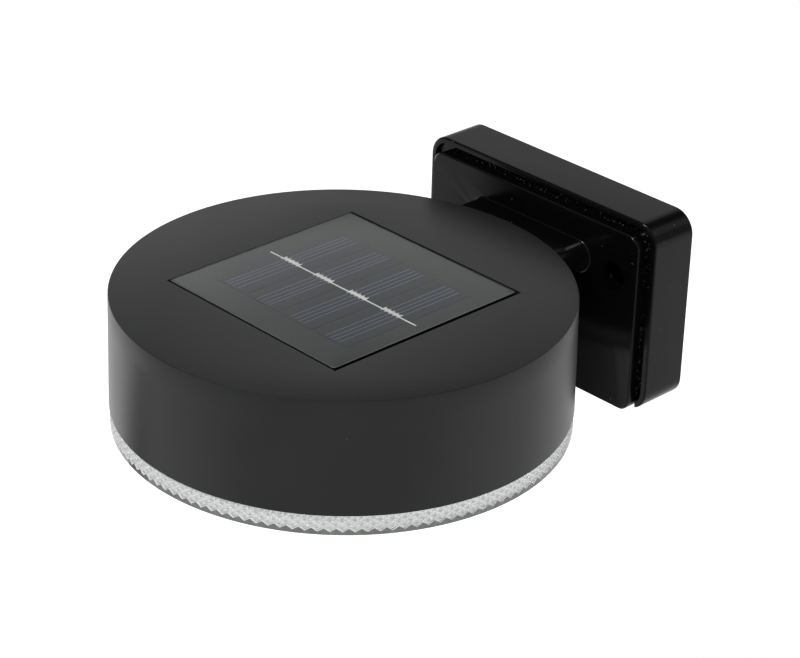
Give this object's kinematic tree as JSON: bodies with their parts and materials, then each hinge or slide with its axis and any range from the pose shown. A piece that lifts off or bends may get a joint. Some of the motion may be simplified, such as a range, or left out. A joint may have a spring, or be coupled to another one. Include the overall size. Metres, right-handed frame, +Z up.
{
  "type": "solar fence light",
  "caption": "Round drum solar light with a flush square panel on top and a clear prism-cut lens below, held by a short flat neck on a rounded wall bracket.",
  "frame": {"origin": "middle of the bracket's flat wall face", "axes": "+Y into the wall, +Z up, +X along the bracket; the drum hangs out towards -Y"},
  "size_m": [0.116, 0.1405, 0.053],
  "materials": {
    "housing_black": "fine satin moulding",
    "bracket_black": "high gloss moulding",
    "panel_board": "dark glass-fibre board",
    "cell_silicon": "dark silicon under clear resin",
    "cell_silver": "tinned ribbon",
    "panel_resin": "clear gloss resin",
    "sealant": "soft sealant",
    "lead_red": "insulated wire",
    "lead_black": "insulated wire",
    "tray_white": "white reflecting moulding",
    "screw_steel": "zinc-plated",
    "pcb_green": "solder-masked board",
    "led_body": "white package with a yellow phosphor",
    "chip_black": "moulded package",
    "coil_green": "lacquered coil",
    "switch_steel": "plain sheet",
    "knob_black": "plain",
    "battery_can": "sleeved can",
    "contact_nickel": "nickel-plated strip",
    "lens_clear": "clear, prism-cut skirt",
    "seal_black": "soft black seal"
  },
  "bodies": {
    "lamp": {"drum_housing": "housing_black", "solar_board": "panel_board", "solar_cells": "cell_silicon", "cell_ribbon": "cell_silver", "panel_resin": "panel_resin", "panel_sealant": "sealant", "panel_lead_positive": "lead_red", "panel_lead_negative": "lead_black", "reflector_tray": "tray_white", "tray_screws": "screw_steel", "circuit_board": "pcb_green", "board_screws": "screw_steel", "led_chips": "led_body", "driver_chip": "chip_black", "inductor": "coil_green", "switch_body": "switch_steel", "battery": "battery_can", "battery_positive_contact": "contact_nickel", "battery_spring_contact": "contact_nickel", "battery_lead_positive": "lead_red", "battery_lead_negative": "lead_black", "battery_cover": "tray_white", "battery_cover_screw": "screw_steel", "neck_gasket": "seal_black", "lock_screw": "screw_steel", "bracket_plate": "bracket_black", "bracket_box": "bracket_black", "plate_screws": "screw_steel"},
    "lens": {"lens": "lens_clear", "lens_seal": "seal_black"},
    "knob": {"switch_knob": "knob_black"}
  },
  "joints": [
    {"name": "lens_twist", "type": "hinge", "parent": "lamp", "child": "lens", "pos_m": [0, -0.0825, 0], "axis": [0, 0, 1], "range_deg": [-20, 0]},
    {"name": "switch_slide", "type": "slide", "parent": "lamp", "child": "knob", "axis": [1, 0, 0], "range_m": [0, 0.002]}
  ]
}
